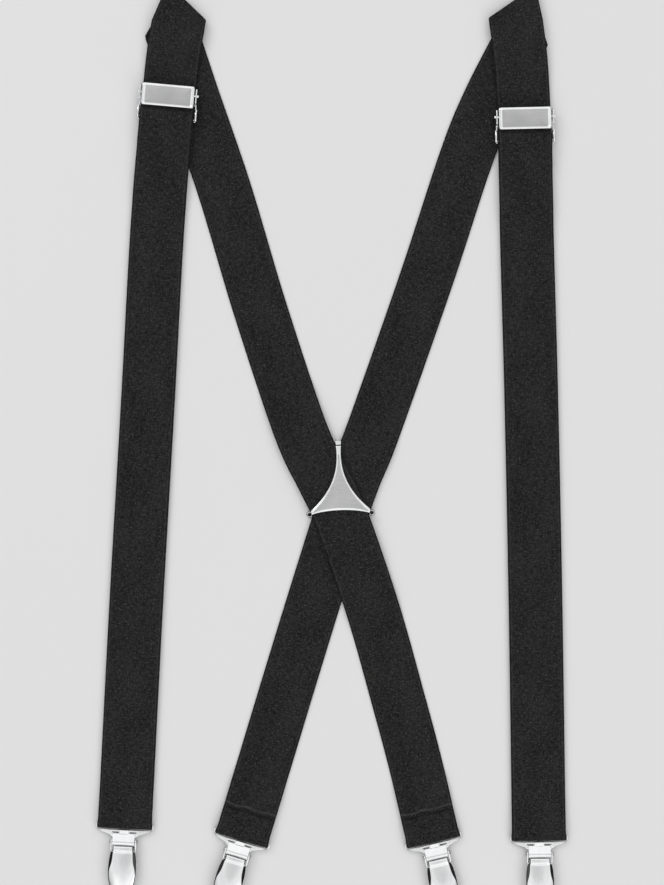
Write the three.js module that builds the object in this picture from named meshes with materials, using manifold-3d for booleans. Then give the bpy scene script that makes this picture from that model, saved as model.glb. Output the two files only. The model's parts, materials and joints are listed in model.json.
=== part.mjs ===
// A pair of clip-on elastic suspenders laid flat, face up.
// X runs to the right, Y towards the shoulders, Z up; millimetres.
import * as THREE from 'three';
import { mergeVertices } from 'three/addons/utils/BufferGeometryUtils.js';
import Module from 'manifold-3d';

const wasm = await Module();
wasm.setup();

// ---------------------------------------------------------------- driving dimensions

const WEB_WIDTH = 35;
const WEB_THICK = 1.4;
const GAP = 0.3;
const LAYER = WEB_THICK + GAP;
const FLOOR_LAYER = WEB_THICK / 2;

// Clip: the bar that the strap loops round, then the hinge pin, both across the clip.
const BAR_RADIUS = 0.55;
const LOOP_RADIUS = BAR_RADIUS + GAP + WEB_THICK / 2;
const BAR_Z = FLOOR_LAYER + LOOP_RADIUS;
const YOKE_THICK = 1.4;
const SLOT_HALF = WEB_WIDTH / 2 + 0.35;
const PIN_Y = -10.3;
const PIN_Z = 4.9;
const PIN_RADIUS = 1.0;
const BARREL_RADIUS = 2.75;
const BARREL_HALF = 7.2;
const JAW_THICK = 1.2;
const LEVER_WALL = 0.9;
const EAR_INNER = BARREL_HALF + GAP;
const EAR_THICK = 0.8;
const PAD_HALF = 5.4;
const PAD_ENDS = [-42, -25.5];

// Adjuster: distances along the strap from the middle of its cover, up the strap positive.
const COVER_SIZE = [34.4, 14.4];
const ANVIL_Y = [-5, -0.5];
const FRAME_Z = [3.6, 4.6];
const LOWER_BAR = { y: -14, z: 4.1, radius: 0.7 };
const SEW_RADIUS = LOWER_BAR.radius + GAP + WEB_THICK / 2;
const SEWN_END = -27;
const COVER_PIVOT = { y: 1.0, z: 8.0, pin: 0.65, bore: 0.95, barrel: 1.4 };

// Shoulder: three layers of strap, turned over twice.
const FOLD_RADIUS = 1.15;

// Cross: back plate on the floor, strap, strap, front plate.
const PLATE_THICK = 1.0;
const UNDER_Z = PLATE_THICK + GAP + WEB_THICK / 2;
const OVER_Z = UNDER_Z + LAYER;
const FRONT_PLATE_Z = OVER_Z + WEB_THICK / 2 + GAP;

// Plan of each half. frontLine runs from the adjuster to the front clip's bar, shoulderLine
// from the adjuster to the shoulder, backLine from the shoulder to the back clip's bar.
const HALVES = {
  left: {
    outward: -1,
    frontLine: [[-106.6, 225.5], [-113.7, 145.5], [-120.2, 27.8], [-128.1, -109.5], [-135.3, -249.9]],
    shoulderLine: [[-106.6, 225.5], [-103.6, 252], [-99.2, 277.9]],
    fold: { corner: [-81.9, 275.3], cornerTop: [-107, 299.8], bump: [-122.3, 265.2],
      bumpTop: [-104.5, 295.5] },
    backLine: [[-105.6, 270.4], [-92.5, 230], [-70.3, 165.1], [-46.8, 86.7], [-20.6, 8.2],
      [-5.4, -24.1], [6.2, -49], [26.8, -109.5], [43.4, -168.4], [55, -212], [65.9, -258.9]],
    crossesOver: true,
  },
  right: {
    outward: 1,
    frontLine: [[125.5, 210.8], [127.5, 125.9], [130.2, 27.8], [133, -109.5], [135.1, -257.8]],
    shoulderLine: [[125.5, 210.8], [123.4, 246], [119.2, 279.2]],
    fold: { corner: [101.9, 276.8], cornerTop: [132.5, 298], bump: [141.1, 259.3],
      bumpTop: [129, 293.5] },
    backLine: [[125.6, 267.4], [102.4, 222.2], [87.3, 184.8], [61.5, 106.3], [27.1, 8.2],
      [15, -21.5], [5, -50], [-13.7, -109.5], [-31.7, -168.4], [-45, -212.5], [-58.7, -257.6]],
    crossesOver: false,
  },
};

// The front plate's concave outline, from its stem clockwise, and the lower tips' rivets.
const PLATE_TURN = THREE.MathUtils.degToRad(2);
const CROSS_MIDDLE = [5.6, -50];
const PLATE_MIDDLE = [4.9, -25.2];
const STEM_TOP = 25.8;
const RIVETS = { left: [-14.6, -47], right: [25.9, -45.7] };

// ---------------------------------------------------------------- materials

const metal = (color, roughness) => new THREE.MeshStandardMaterial({ color, roughness, metalness: 1 });
const matt = (color) => new THREE.MeshStandardMaterial({ color, roughness: 0.9, metalness: 0 });
const WEBBING = matt(0x242424);
const CHROME = metal(0xdfe0e2, 0.12);
const SATIN = metal(0xb4b5b8, 0.35);
const STEEL = metal(0x8c8d90, 0.3);
const GRIP = matt(0x16171a);

// ---------------------------------------------------------------- solids

function spread(from, to, step) {
  const count = Math.max(1, Math.round(Math.abs((to - from) / step)));
  return Array.from({ length: count + 1 }, (_, i) => from + (to - from) * i / count);
}

function toManifold(geometry) {
  const bare = geometry.clone();
  bare.deleteAttribute('normal');
  bare.deleteAttribute('uv');
  const merged = mergeVertices(bare, 1e-5);
  return new wasm.Manifold(new wasm.Mesh({
    numProp: 3,
    vertProperties: new Float32Array(merged.attributes.position.array),
    triVerts: new Uint32Array(merged.index.array),
  }));
}

function toGeometry(manifold) {
  const mesh = manifold.getMesh();
  const geometry = new THREE.BufferGeometry();
  geometry.setAttribute('position', new THREE.BufferAttribute(mesh.vertProperties, 3));
  geometry.setIndex(new THREE.BufferAttribute(mesh.triVerts, 1));
  geometry.computeVertexNormals();
  return geometry;
}

function join(...geometries) {
  return toGeometry(geometries.map(toManifold).reduce((sum, solid) => sum.add(solid)));
}

function cut(geometry, ...tools) {
  return toGeometry(tools.map(toManifold).reduce((rest, tool) => rest.subtract(tool), toManifold(geometry)));
}

function slab(shape, low, high, curveSegments = 10) {
  const options = { depth: high - low, bevelEnabled: false, curveSegments };
  return new THREE.ExtrudeGeometry(shape, options).translate(0, 0, low);
}

// The outline's x is the part's Y and its y is the part's Z; it is extruded along X.
function sideSlab(shape, low, high, curveSegments = 10) {
  return slab(shape, low, high, curveSegments).rotateZ(Math.PI / 2).rotateY(Math.PI / 2);
}

function rod(radius, low, high, y, z, segments = 16) {
  const rodGeometry = new THREE.CylinderGeometry(radius, radius, high - low, segments);
  return rodGeometry.rotateZ(Math.PI / 2).translate((low + high) / 2, y, z);
}

function disc(radius, x, y, low, high, segments = 16) {
  const discGeometry = new THREE.CylinderGeometry(radius, radius, high - low, segments);
  return discGeometry.rotateX(Math.PI / 2).translate(x, y, (low + high) / 2);
}

function outline(points) {
  const corners = points.map(([x, y]) => new THREE.Vector2(x, y));
  return new THREE.Shape(THREE.ShapeUtils.isClockWise(corners) ? corners.reverse() : corners);
}

function arc(x, y, radius, from, to, steps) {
  return spread(from, to, (to - from) / steps).map((angle) => (
    [x + radius * Math.cos(angle), y + radius * Math.sin(angle)]));
}

function roundedRect(width, height, radius) {
  const [w, h] = [width / 2 - radius, height / 2 - radius];
  const quarter = Math.PI / 2;
  const corners = [[w, h], [-w, h], [-w, -h], [w, -h]];
  return outline(corners.flatMap(([x, y], i) => arc(x, y, radius, i * quarter, (i + 1) * quarter, 4)));
}

function roundHole(x, y, radius) {
  const points = arc(x, y, radius, 0, -Math.PI * 2, 14).slice(1);
  return new THREE.Path(points.map(([px, py]) => new THREE.Vector2(px, py)));
}

// A closed body through rings that have the same number of points.
function loft(rings, cap) {
  const count = rings[0].length;
  const positions = rings.flat().flatMap((point) => point.toArray());
  const index = [];
  for (let ring = 0; ring + 1 < rings.length; ring += 1) {
    for (let side = 0; side < count; side += 1) {
      const next = (side + 1) % count;
      const [a, b] = [ring * count + side, ring * count + next];
      index.push(a, b, b + count, a, b + count, a + count);
    }
  }
  const last = (rings.length - 1) * count;
  for (const [a, b, c] of cap) {
    index.push(a, c, b, last + a, last + b, last + c);
  }
  const geometry = new THREE.BufferGeometry();
  geometry.setAttribute('position', new THREE.Float32BufferAttribute(positions, 3));
  geometry.setIndex(index);
  geometry.computeVertexNormals();
  return geometry;
}

// ---------------------------------------------------------------- webbing

// Heights eased between [distance, height] pairs.
function eased(pairs) {
  return (distance) => {
    const after = pairs.findIndex(([at]) => at >= distance);
    if (after === 0) return pairs[0][1];
    if (after < 0) return pairs[pairs.length - 1][1];
    const [[from, low], [to, high]] = [pairs[after - 1], pairs[after]];
    const t = (distance - from) / (to - from);
    return low + (high - low) * t * t * (3 - 2 * t);
  };
}

// A strap's line in plan, measured by distance along it.
class PlanLine {
  constructor(points) {
    this.curve = new THREE.SplineCurve(points.map(([x, y]) => new THREE.Vector2(x, y)));
    this.curve.arcLengthDivisions = 400;
    this.length = this.curve.getLength();
  }

  // Point and direction at a distance, carried on straight past either end.
  at(distance) {
    const inside = THREE.MathUtils.clamp(distance / this.length, 0, 1);
    const point = this.curve.getPointAt(inside);
    const heading = this.curve.getTangentAt(inside);
    return { point: point.addScaledVector(heading, distance - inside * this.length), heading };
  }

  nearest([x, y]) {
    const target = new THREE.Vector2(x, y);
    const steps = spread(0, this.length, 1);
    return steps.reduce((best, d) => (
      this.at(d).point.distanceTo(target) < this.at(best).point.distanceTo(target) ? d : best));
  }
}

// A row is the strap's two edge points at a distance along its line.
function rowAt(line, distance, height) {
  const { point, heading } = line.at(distance);
  const side = new THREE.Vector2(heading.y, -heading.x).multiplyScalar(WEB_WIDTH / 2);
  const left = new THREE.Vector3(point.x - side.x, point.y - side.y, height);
  const right = new THREE.Vector3(point.x + side.x, point.y + side.y, height);
  return [left, right];
}

function runRows(line, distances, height) {
  return distances.map((distance) => rowAt(line, distance, height(distance)));
}

// Half a turn round a bar that lies across the line at the given distance. The strap keeps
// its left and right edges; its middle starts above or below the bar and ends opposite.
function wrapRows(line, distance, barZ, radius, { start, bulge }) {
  return spread(0, Math.PI, Math.PI / 8).map((angle) => (
    rowAt(line, distance + bulge * radius * Math.sin(angle), barZ + start * radius * Math.cos(angle))));
}

function mixRows([leftA, rightA], [leftB, rightB], steps) {
  return spread(0, 1, 1 / steps).map((t) => [leftA.clone().lerp(leftB, t), rightA.clone().lerp(rightB, t)]);
}

// The solid strap through the rows, its thickness square to the surface.
function strapSolid(rows) {
  const middles = rows.map(([left, right]) => left.clone().add(right).multiplyScalar(0.5));
  const rings = rows.map(([left, right], i) => {
    const ahead = middles[Math.min(i + 1, rows.length - 1)];
    const behind = middles[Math.max(i - 1, 0)];
    const across = right.clone().sub(left);
    const up = across.cross(ahead.clone().sub(behind)).normalize().multiplyScalar(WEB_THICK / 2);
    return [left.clone().add(up), right.clone().add(up), right.clone().sub(up), left.clone().sub(up)];
  });
  return loft(rings, [[0, 1, 2], [0, 2, 3]]);
}

function withoutRepeats(rows) {
  return rows.filter(([left], i) => i === 0 || left.distanceTo(rows[i - 1][0]) > 0.02
    || rows[i][1].distanceTo(rows[i - 1][1]) > 0.02);
}

// From under the cover down to the clip's bar, round it, back up to the adjuster's lower bar,
// round that and down to the sewn end.
function frontStrapRows(line) {
  const bar = line.length;
  const sewnBar = -LOWER_BAR.y;
  const upper = eased([[0, 5.5], [0.5, 5.6], [7, 5.6], [12.3, 7.5], [15, 7.5], [21, 5.9], [28.5, 5.9],
    [36, 4.2], [54, 4.2], [76, 2.5], [bar - 32, 2.5], [bar - 5, BAR_Z + LOOP_RADIUS]]);
  const lower = eased([[52, LOWER_BAR.z - SEW_RADIUS], [70, FLOOR_LAYER]]);
  const end = eased([[sewnBar, LOWER_BAR.z + SEW_RADIUS], [20, 4.1]]);
  return withoutRepeats([
    ...runRows(line, [...spread(GAP / 2, 7, 3.5), ...spread(8, 80, 2), ...spread(95, bar - 35, 25),
      ...spread(bar - 30, bar, 4)], upper),
    ...wrapRows(line, bar, BAR_Z, LOOP_RADIUS, { start: 1, bulge: 1 }),
    ...runRows(line, [...spread(bar, bar - 30, 15), ...spread(bar - 50, 76, 25), ...spread(70, sewnBar, 4)],
      lower, 1),
    ...wrapRows(line, sewnBar, LOWER_BAR.z, SEW_RADIUS, { start: -1, bulge: -1 }),
    ...runRows(line, spread(sewnBar, -SEWN_END, 2.2), end),
  ]);
}

// From under the cover up to the shoulder, over the corner crease, across and over the bump
// crease, to the start of the back strap.
function shoulderStrapRows({ outward, shoulderLine, fold, backLine }) {
  const line = new PlanLine(shoulderLine);
  const back = new PlanLine(backLine);
  const order = (inner, outer) => (outward < 0 ? [outer, inner] : [inner, outer]);
  const [bottom, middle, top] = [0, 2, 4].map((layer) => FLOOR_LAYER + layer * FOLD_RADIUS);
  const height = eased([[0, 5.5], [5.5, 2.4], [10, 2.4], [line.length - 6, top]]);
  const crease = (near, far, outside) => {
    const [from, to] = [new THREE.Vector2(...near), new THREE.Vector2(...far)];
    const along = to.clone().sub(from).normalize();
    const normal = new THREE.Vector2(along.y, -along.x).multiplyScalar(outside);
    const inset = FOLD_RADIUS + WEB_THICK / 2;
    return { from: from.addScaledVector(normal, -inset), to: to.addScaledVector(normal, -inset), normal };
  };
  const roll = ({ from, to, normal }, low) => spread(0, Math.PI, Math.PI / 8).map((angle) => {
    const reach = normal.clone().multiplyScalar(FOLD_RADIUS * Math.sin(angle));
    const z = low + FOLD_RADIUS * (1 + Math.cos(angle));
    const edge = (point) => new THREE.Vector3(point.x + reach.x, point.y + reach.y, z);
    return order(edge(from), edge(to));
  });
  const first = roll(crease(fold.corner, fold.cornerTop, -outward), middle);
  const second = roll(crease(fold.bump, fold.bumpTop, outward), bottom);
  const front = runRows(line, [...spread(4 * GAP, 10, 1.5), ...spread(12, line.length - 6, 4)], height);
  return withoutRepeats([
    ...front,
    ...mixRows(front[front.length - 1], first[0], 5),
    ...first,
    ...mixRows(first[first.length - 1], second[0], 6),
    ...second,
    ...mixRows(second[second.length - 1], rowAt(back, 6, bottom), 5),
  ]);
}

// From the shoulder across the back and round the back clip's bar to the sewn end.
function backStrapRows({ backLine, crossesOver }) {
  const line = new PlanLine(backLine);
  const cross = line.nearest(CROSS_MIDDLE);
  const bar = line.length;
  const underneath = [[cross - 68, FLOOR_LAYER], [cross - 50, UNDER_Z], [cross + 12, UNDER_Z],
    [cross + 30, FLOOR_LAYER]];
  const above = [[cross - 98, FLOOR_LAYER], [cross - 82, FLOOR_LAYER + LAYER], [cross - 64, OVER_Z],
    [cross + 26, OVER_Z], [cross + 44, FLOOR_LAYER + LAYER], [cross + 58, FLOOR_LAYER + LAYER],
    [cross + 78, FLOOR_LAYER]];
  const height = eased([...(crossesOver ? above : underneath), [bar - 46, FLOOR_LAYER],
    [bar - 29, FLOOR_LAYER + LAYER], [bar - 20, FLOOR_LAYER + LAYER], [bar - 5, BAR_Z + LOOP_RADIUS]]);
  return withoutRepeats([
    ...runRows(line, [...spread(6 + GAP, cross - 100, 12), ...spread(cross - 98, cross + 80, 6),
      ...spread(cross + 88, bar - 48, 12), ...spread(bar - 46, bar, 3)], height),
    ...wrapRows(line, bar, BAR_Z, LOOP_RADIUS, { start: 1, bulge: 1 }),
    ...runRows(line, spread(bar, bar - 25, 5), () => FLOOR_LAYER),
  ]);
}

// ---------------------------------------------------------------- clip

// The stamped base: yoke and bar for the strap, hinge barrel, and the rear jaw on the floor.
function clipBase() {
  const outer = SLOT_HALF + 1.15;
  const right = [[SLOT_HALF, 0.7], [outer, 0.7], [outer, -2.3], [17.5, -3.5], [11, -5], [9, -6.2],
    [BARREL_HALF + 0.5, -7.6]];
  const slot = [[10, -3.1], [SLOT_HALF, -2.6]];
  const mirrored = (points) => points.map(([x, y]) => [-x, y]).reverse();
  const yoke = outline([...slot, ...right, ...mirrored(right), ...mirrored(slot)]);
  const windows = [-1, 1].map((side) => (
    slab(outline([[3.4, -4.2], [8.2, -4.2], [8.2, -4.9], [3.4, -4.9]].map(([x, y]) => [side * x, y])),
      0, 5)));
  const [low, high] = [BAR_Z - YOKE_THICK / 2, BAR_Z + YOKE_THICK / 2];
  const shelf = Math.sqrt(BARREL_RADIUS ** 2 - (PIN_Z - high) ** 2);
  const shelfAngle = Math.atan2(high - PIN_Z, shelf);
  const barrel = outline([[-6.6, low], [-6.6, high],
    ...arc(PIN_Y, PIN_Z, BARREL_RADIUS, shelfAngle, Math.PI - shelfAngle, 12),
    [-13, high], [-15.8, JAW_THICK], [-16.5, JAW_THICK], [-16.5, 0], [-14.6, 0], [-12.2, low]]);
  barrel.holes.push(roundHole(PIN_Y, PIN_Z, PIN_RADIUS + GAP));
  const jaw = new THREE.Shape();
  jaw.moveTo(5.6, -16);
  jaw.bezierCurveTo(6.6, -20, 8.2, -24, 8.0, -30);
  jaw.bezierCurveTo(7.7, -38, 6.2, -49.5, 0, -49.5);
  jaw.bezierCurveTo(-6.2, -49.5, -7.7, -38, -8.0, -30);
  jaw.bezierCurveTo(-8.2, -24, -6.6, -20, -5.6, -16);
  return join(
    cut(slab(yoke, low, high), ...windows),
    rod(BAR_RADIUS, -SLOT_HALF - 0.5, SLOT_HALF + 0.5, 0, BAR_Z, 12),
    sideSlab(barrel, -BARREL_HALF, BARREL_HALF),
    slab(jaw, 0, JAW_THICK, 6),
  );
}

// Half-widths and heights of the lever's crowned shell at stations from its collar to its tip.
const LEVER_STATIONS = [
  { y: -13.4, face: 5.9, skirt: 7.9, top: 7.7, hem: 4.6 },
  { y: -16.5, face: 6.2, skirt: 8.2, top: 8.1, hem: 4.5 },
  { y: -21, face: 7.0, skirt: 8.9, top: 8.5, hem: 4.4 },
  { y: -27, face: 7.9, skirt: 9.4, top: 8.6, hem: 4.4 },
  { y: -33, face: 7.6, skirt: 9.0, top: 8.4, hem: 4.3 },
  { y: -39, face: 6.7, skirt: 8.0, top: 7.9, hem: 4.1 },
  { y: -44, face: 5.6, skirt: 6.8, top: 7.3, hem: 3.9 },
  { y: -48, face: 4.1, skirt: 5.2, top: 6.5, hem: 3.7 },
  { y: -51, face: 2.4, skirt: 3.3, top: 5.7, hem: 3.6 },
  { y: -53, face: 0.8, skirt: 1.3, top: 5.0, hem: 3.6 },
];

function leverRing({ y, face, skirt, top, hem }) {
  const half = [[0, top], [face * 0.55, top - 0.2], [face, top - 0.9], [skirt, hem]];
  const inside = (x, z) => [Math.max(x - LEVER_WALL, 0.15 * x), Math.max(z - LEVER_WALL, hem)];
  const outer = [...half.map(([x, z]) => [-x, z]).reverse(), ...half.slice(1)];
  const inner = outer.map(([x, z]) => {
    const [width, height] = inside(Math.abs(x), z);
    return [Math.sign(x) * width, Math.abs(x) === skirt ? hem : height];
  }).reverse();
  return [...outer, ...inner].reverse().map(([x, z]) => new THREE.Vector3(x, y, z));
}

function clipLever() {
  const rings = LEVER_STATIONS.map(leverRing);
  const contour = rings[0].map((point) => new THREE.Vector2(point.x, point.z));
  const shell = loft(rings, THREE.ShapeUtils.triangulateShape(contour, []));
  const ear = outline([...arc(PIN_Y, PIN_Z, 2.2, Math.PI / 2, -Math.PI * 0.75, 8),
    [-13.2, 4.2], [-17.5, 4.6], [-17.5, 6.2], [-14.5, 6.8]]);
  ear.holes.push(roundHole(PIN_Y, PIN_Z, PIN_RADIUS + GAP));
  return join(
    shell,
    sideSlab(ear, EAR_INNER, EAR_INNER + EAR_THICK, 8),
    sideSlab(ear, -EAR_INNER - EAR_THICK, -EAR_INNER, 8),
  );
}

function clipPin() {
  const reach = EAR_INNER + EAR_THICK + GAP;
  return join(
    rod(PIN_RADIUS, -reach - 0.1, reach + 0.1, PIN_Y, PIN_Z),
    rod(1.5, reach, reach + 0.6, PIN_Y, PIN_Z),
    rod(1.5, -reach - 0.6, -reach, PIN_Y, PIN_Z),
  );
}

function clipSpring() {
  return sideSlab(outline([[-24.5, 1.5], [-17.3, 1.5], [-13.6, 3.9], [-13.9, 4.2], [-17.5, 1.9],
    [-24.5, 1.9]]), -3, 3);
}

// A grip pad with cross ridges on the face at z = ridge, its flat back at z = back.
function clipPad(back, ridge) {
  const [far, near] = PAD_ENDS;
  const depth = 0.35 * Math.sign(ridge - back);
  const teeth = spread(far, near, 1.5).map((y, i) => [y, ridge - (i % 2 ? 0 : depth)]);
  const shape = [[near, back], ...teeth.reverse(), [far, back]];
  return sideSlab(outline(ridge > back ? shape : shape.reverse()), -PAD_HALF, PAD_HALF);
}

// ---------------------------------------------------------------- adjuster

function adjusterFrame() {
  const inner = SLOT_HALF + 0.05;
  const [low, high] = FRAME_Z;
  const parts = [
    slab(outline([[-inner - 0.5, ANVIL_Y[0]], [inner + 0.5, ANVIL_Y[0]], [inner + 0.5, ANVIL_Y[1]],
      [-inner - 0.5, ANVIL_Y[1]]]), low, high),
    rod(LOWER_BAR.radius, -inner - 0.5, inner + 0.5, LOWER_BAR.y, LOWER_BAR.z, 12),
  ];
  for (const side of [-1, 1]) {
    const rail = outline([[inner, 6.2], [inner + 0.9, 6.2], [inner + 0.9, -6.5], [inner + 1.7, -9.5],
      [inner + 1.5, -14], [inner + 0.6, -15.6], [inner, -15.6]].map(([x, y]) => [side * x, y]));
    const ear = outline([[-4.2, low], [-4.2, 7.6], [-2.6, 9.3], [4.6, 9.3], [6.2, 7.6], [6.2, low]]);
    ear.holes.push(roundHole(COVER_PIVOT.y, COVER_PIVOT.z, COVER_PIVOT.bore));
    const [from, to] = [side * inner, side * (inner + 0.9)].sort((a, b) => a - b);
    parts.push(slab(rail, low - 0.2, high + 0.2), sideSlab(ear, from, to, 8));
  }
  return join(...parts);
}

function adjusterCover() {
  const [width, height] = COVER_SIZE;
  const { y, z, bore, barrel } = COVER_PIVOT;
  const rim = roundedRect(width, height, 1.6);
  rim.holes.push(new THREE.Path(roundedRect(width - 2.6, height - 2.6, 1.0).getPoints().slice(1).reverse()));
  const solid = join(
    slab(roundedRect(width, height, 1.6), z - 0.3, z + 0.6, 4),
    slab(rim, z + 0.5, z + 1.0, 4),
    rod(barrel, -width / 2, width / 2, y, z),
  );
  return cut(solid, rod(bore, -width, width, y, z, 12));
}

function adjusterPin() {
  const reach = SLOT_HALF + 0.95 + GAP;
  const { y, z, pin } = COVER_PIVOT;
  return join(
    rod(pin, -reach - 0.1, reach + 0.1, y, z, 12),
    rod(1.15, reach, reach + 1.1, y, z, 12),
    rod(1.15, -reach - 1.1, -reach, y, z, 12),
  );
}

// ---------------------------------------------------------------- cross plate

// The plate's outline about its own middle: a narrow stem and two lower tips, all sides hollow.
function crossOutline(inset) {
  const shape = new THREE.Shape();
  const stem = 1.9 - inset;
  shape.moveTo(stem, STEM_TOP - inset);
  shape.bezierCurveTo(stem - 0.7, 13, 0.8 - inset, -2, 19.4 - inset, -18.6);
  shape.lineTo(19.0 - inset, -21.4 + inset);
  shape.bezierCurveTo(9, -18.2 + inset, -9, -18.2 + inset, -19.0 + inset, -21.4 + inset);
  shape.lineTo(-19.4 + inset, -18.6);
  shape.bezierCurveTo(-0.8 + inset, -2, -stem + 0.7, 13, -stem, STEM_TOP - inset);
  return shape;
}

function inPlateFrame([x, y]) {
  const local = new THREE.Vector2(x - PLATE_MIDDLE[0], y - PLATE_MIDDLE[1]);
  return local.rotateAround(new THREE.Vector2(), -PLATE_TURN);
}

function crossFrontPlate() {
  const rim = crossOutline(0);
  rim.holes.push(new THREE.Path(crossOutline(1.1).getPoints(8).slice(1).reverse()));
  const low = FRONT_PLATE_Z;
  const tips = Object.values(RIVETS).map(inPlateFrame).map(({ x, y }) => disc(1.9, x, y, low, low + 1));
  const stemEnd = [[-0.9, STEM_TOP - 0.8], [0.9, STEM_TOP - 0.8], [0.9, STEM_TOP], [-0.9, STEM_TOP]];
  const stem = slab(outline(stemEnd), GAP, low + 1);
  const holes = Object.values(RIVETS).map(inPlateFrame).map(({ x, y }) => disc(1.1, x, y, 0, low + 3));
  const plate = join(slab(crossOutline(0), low, low + 0.9, 8), slab(rim, low + 0.8, low + 1.3, 8));
  return cut(join(plate, stem, ...tips), ...holes);
}

function crossBackPlate() {
  const tips = Object.values(RIVETS).map(inPlateFrame).map(({ x, y }) => disc(2.1, x, y, 0, PLATE_THICK));
  const holes = Object.values(RIVETS).map(inPlateFrame).map(({ x, y }) => disc(1.1, x, y, -1, 3));
  const notch = slab(outline([[-3, STEM_TOP - 1.1], [3, STEM_TOP - 1.1], [3, 30], [-3, 30]]), -1, 3);
  return cut(join(slab(crossOutline(0.6), 0, PLATE_THICK, 8), ...tips), notch, ...holes);
}

function crossRivet({ x, y }) {
  const top = FRONT_PLATE_Z + 1 + GAP;
  return join(disc(0.8, x, y, 0.05, top + 0.1), disc(1.5, x, y, top, top + 0.6));
}

// ---------------------------------------------------------------- assembly

function named(name, geometry, material) {
  const mesh = new THREE.Mesh(geometry, material);
  mesh.name = name;
  return mesh;
}

// A group whose local Y runs up the strap at that distance, with its origin on the line.
function placedOn(line, distance) {
  const { point, heading } = line.at(distance);
  const group = new THREE.Group();
  group.position.set(point.x, point.y, 0);
  group.rotation.z = Math.atan2(-heading.y, -heading.x) - Math.PI / 2;
  return group;
}

function clip(prefix, line) {
  const group = placedOn(line, line.length);
  group.name = `${prefix}_clip`;
  group.add(
    named(`${prefix}_clip_base`, clipBase(), CHROME),
    named(`${prefix}_clip_lever`, clipLever(), CHROME),
    named(`${prefix}_clip_pin`, clipPin(), STEEL),
    named(`${prefix}_clip_spring`, clipSpring(), STEEL),
    named(`${prefix}_clip_rear_pad`, clipPad(JAW_THICK + GAP, 3.0), GRIP),
    named(`${prefix}_clip_front_pad`, clipPad(5.2, 3.3), GRIP),
  );
  return group;
}

function adjuster(prefix, line) {
  const group = placedOn(line, 0);
  group.name = `${prefix}_adjuster`;
  group.add(
    named(`${prefix}_adjuster_frame`, adjusterFrame(), CHROME),
    named(`${prefix}_adjuster_cover`, adjusterCover(), SATIN),
    named(`${prefix}_adjuster_pin`, adjusterPin(), STEEL),
  );
  return group;
}

function crossPlates() {
  const group = new THREE.Group();
  group.name = 'cross';
  group.position.set(...PLATE_MIDDLE, 0);
  group.rotation.z = PLATE_TURN;
  group.add(
    named('cross_front_plate', crossFrontPlate(), SATIN),
    named('cross_back_plate', crossBackPlate(), STEEL),
    named('cross_rivet_left', crossRivet(inPlateFrame(RIVETS.left)), CHROME),
    named('cross_rivet_right', crossRivet(inPlateFrame(RIVETS.right)), CHROME),
  );
  return group;
}

function half(side) {
  const layout = HALVES[side];
  const front = new PlanLine(layout.frontLine);
  const group = new THREE.Group();
  group.add(
    named(`${side}_front_strap`, strapSolid(frontStrapRows(front)), WEBBING),
    named(`${side}_shoulder_strap`, strapSolid(shoulderStrapRows(layout)), WEBBING),
    named(`${side}_back_strap`, strapSolid(backStrapRows(layout)), WEBBING),
    adjuster(side, front),
    clip(`${side}_front`, front),
    clip(`${side}_back`, new PlanLine(layout.backLine)),
  );
  return group;
}

// The assembly is moved so that the origin is at the bottom middle of its box.
const assembly = new THREE.Group();
assembly.add(half('left'), half('right'), crossPlates());
const box = new THREE.Box3().setFromObject(assembly, true);
const middle = box.getCenter(new THREE.Vector3());
assembly.position.set(-middle.x, -middle.y, -box.min.z);

const suspenders = new THREE.Group();
suspenders.name = 'suspenders';
suspenders.add(assembly);

export default suspenders;
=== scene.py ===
"""A pair of clip-on elastic suspenders laid flat: woven straps, stamped clips, adjusters and cross plate."""
import json
import math

import bmesh
import bpy
from mathutils import Matrix, Vector


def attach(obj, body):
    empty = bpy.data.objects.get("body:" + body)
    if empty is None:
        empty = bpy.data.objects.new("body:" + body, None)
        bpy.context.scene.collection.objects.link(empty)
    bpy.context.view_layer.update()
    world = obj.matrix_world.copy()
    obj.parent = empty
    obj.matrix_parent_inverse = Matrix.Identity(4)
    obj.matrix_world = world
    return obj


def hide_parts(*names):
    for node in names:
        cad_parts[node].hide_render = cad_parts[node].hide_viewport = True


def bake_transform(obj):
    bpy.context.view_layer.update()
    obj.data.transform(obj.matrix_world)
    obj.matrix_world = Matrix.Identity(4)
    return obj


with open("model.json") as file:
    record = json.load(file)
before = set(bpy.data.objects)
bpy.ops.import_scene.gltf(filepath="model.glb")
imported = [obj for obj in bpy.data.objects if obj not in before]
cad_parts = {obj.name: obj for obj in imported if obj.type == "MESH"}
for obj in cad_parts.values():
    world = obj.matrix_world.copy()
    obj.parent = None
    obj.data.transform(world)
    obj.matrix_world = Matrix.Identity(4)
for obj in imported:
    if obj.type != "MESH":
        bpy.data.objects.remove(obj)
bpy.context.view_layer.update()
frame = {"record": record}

MM = 0.001
HALF_PI = math.pi / 2

# ---- sizes, in millimetres

WEB_WIDTH = 35.0
WEB_THICK = 1.4
GAP = 0.3
LAYER = WEB_THICK + GAP
FLOOR_LAYER = WEB_THICK / 2
BAR_RADIUS = 0.55
LOOP_RADIUS = BAR_RADIUS + GAP + WEB_THICK / 2
BAR_Z = FLOOR_LAYER + LOOP_RADIUS
SLOT_HALF = WEB_WIDTH / 2 + 0.35
PIN_Y, PIN_Z, PIN_RADIUS = -10.3, 4.9, 1.0
BARREL_RADIUS, BARREL_HALF = 2.75, 7.2
JAW_THICK = 1.2
EAR_INNER, EAR_THICK = BARREL_HALF + GAP, 0.8
PAD_HALF, PAD_FAR, PAD_NEAR = 5.4, -42.0, -25.5
COVER_WIDTH, COVER_HEIGHT = 34.4, 14.4
COVER_Y, COVER_Z = 1.0, 8.0
LOWER_BAR_Y, LOWER_BAR_Z, LOWER_BAR_RADIUS = -14.0, 4.1, 0.7
SEW_RADIUS = LOWER_BAR_RADIUS + GAP + WEB_THICK / 2
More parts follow.
